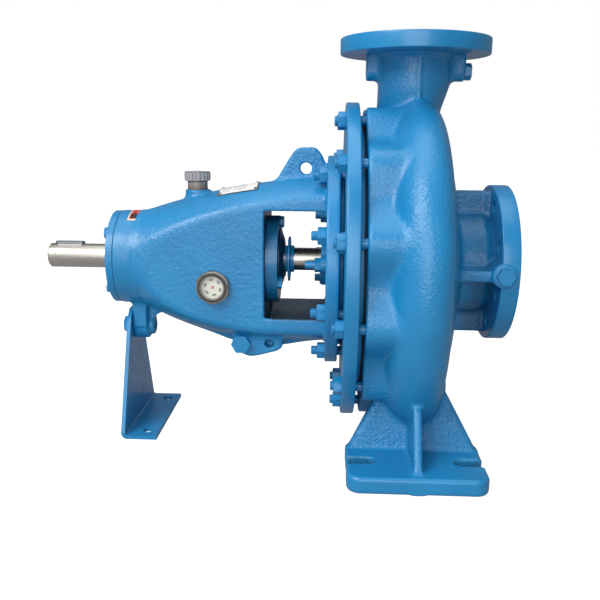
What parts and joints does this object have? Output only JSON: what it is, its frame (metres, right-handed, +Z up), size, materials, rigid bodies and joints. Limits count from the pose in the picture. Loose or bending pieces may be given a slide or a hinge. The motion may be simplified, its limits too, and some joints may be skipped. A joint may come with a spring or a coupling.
{
  "type": "end-suction centrifugal water pump",
  "caption": "End-suction centrifugal pump with a bare shaft: volute casing on a cast foot, flanged suction and top discharge, and an oil-filled bearing bracket on a bent steel foot.",
  "frame": {"origin": "centre of the suction flange's face, on the shaft axis", "axes": "+X along the shaft axis, out of the suction flange; +Z up, towards the discharge flange; +Y completes the right-handed frame, and the oil sight glass is on the -Y side"},
  "size_m": [0.6, 0.4305, 0.505],
  "materials": {
    "blue_casting": "rough sand-cast iron under glossy blue machine enamel",
    "blue_paint": "smooth blue machine enamel over steel",
    "shaft_steel": "turned and polished stainless steel",
    "bearing_steel": "ground bearing steel",
    "zinc_steel": "zinc-plated steel",
    "grey_cap": "grey ribbed cap with a satin finish",
    "dark_ring": "dark nickel-plated brass",
    "bronze": "machined bronze",
    "impeller_iron": "bare cast iron, turned outside",
    "gasket": "compressed fibre gasket sheet",
    "seal_rubber": "black nitrile rubber",
    "packing": "graphited square braided packing",
    "glass": "clear sight glass",
    "reflector": "cream oil-level reflector",
    "plate": "etched aluminium plate",
    "label": "printed film with a plain arrow"
  },
  "bodies": {
    "pump_body": {"volute_casing": "blue_casting", "front_wear_ring": "bronze", "rear_wear_ring": "bronze", "casing_gasket": "gasket", "casing_cover": "blue_casting", "cover_studs": "blue_paint", "cover_nuts": "blue_paint", "neck_bush": "bronze", "packing_rings": "packing", "lantern_ring": "bronze", "gland_studs": "blue_paint", "bearing_bracket": "blue_casting", "bracket_studs": "blue_paint", "bracket_nuts": "blue_paint", "drive_bearing_cover": "blue_casting", "drive_cover_gasket": "gasket", "drive_cover_bolts": "blue_paint", "drive_oil_seal": "seal_rubber", "pump_bearing_cover": "blue_casting", "pump_cover_gasket": "gasket", "pump_cover_bolts": "blue_paint", "pump_oil_seal": "seal_rubber", "drive_outer_ring": "bearing_steel", "pump_outer_ring": "bearing_steel", "filler_neck": "zinc_steel", "sight_glass_ring": "dark_ring", "sight_glass_lens": "glass", "sight_glass_disc": "reflector", "sight_glass_seal": "seal_rubber", "oil_drain_plug": "blue_paint", "drain_plug_washer": "blue_paint", "suction_gauge_plug": "blue_paint", "discharge_gauge_plug": "blue_paint", "support_foot": "blue_paint", "support_bolt": "blue_paint", "support_washer": "blue_paint", "nameplate": "plate", "nameplate_rivets": "zinc_steel", "rotation_label": "label"},
    "rotor": {"shaft": "shaft_steel", "shaft_circlips": "bearing_steel", "coupling_key": "zinc_steel", "impeller": "impeller_iron", "impeller_key": "zinc_steel", "impeller_washer": "zinc_steel", "impeller_nut": "zinc_steel", "thrower": "blue_paint", "drive_inner_ring": "bearing_steel", "pump_inner_ring": "bearing_steel"},
    "drive_ball_set": {"drive_balls": "bearing_steel", "drive_cage": "bronze"},
    "pump_ball_set": {"pump_balls": "bearing_steel", "pump_cage": "bronze"},
    "gland_follower": {"gland": "blue_casting", "gland_nuts": "blue_paint"},
    "cap_seal": {"cap_gasket": "gasket"},
    "cap": {"filler_cap": "grey_cap"}
  },
  "joints": [
    {"name": "rotor_spin", "type": "hinge", "parent": "pump_body", "child": "rotor", "pos_m": [-0.125, 0, 0], "axis": [1, 0, 0], "continuous": true},
    {"name": "drive_bearing_roll", "type": "hinge", "parent": "pump_body", "child": "drive_ball_set", "pos_m": [-0.4895, 0, 0], "axis": [1, 0, 0], "continuous": true},
    {"name": "pump_bearing_roll", "type": "hinge", "parent": "pump_body", "child": "pump_ball_set", "pos_m": [-0.318, 0, 0], "axis": [1, 0, 0], "continuous": true},
    {"name": "gland_slide", "type": "slide", "parent": "pump_body", "child": "gland_follower", "axis": [-1, 0, 0], "range_m": [0, 0.008]},
    {"name": "cap_lift", "type": "slide", "parent": "pump_body", "child": "cap_seal", "axis": [0, 0, 1], "range_m": [0, 0.006]},
    {"name": "cap_turn", "type": "hinge", "parent": "cap_seal", "child": "cap", "pos_m": [-0.4, 0, 0.105], "axis": [0, 0, 1], "range_deg": [0, 1440]}
  ],
  "couplings": [
    {"joint": "drive_bearing_roll", "follows": "rotor_spin", "ratio": 0.3835},
    {"joint": "pump_bearing_roll", "follows": "rotor_spin", "ratio": 0.3835},
    {"joint": "cap_lift", "follows": "cap_turn", "m_per_rad": 0.00023873}
  ]
}
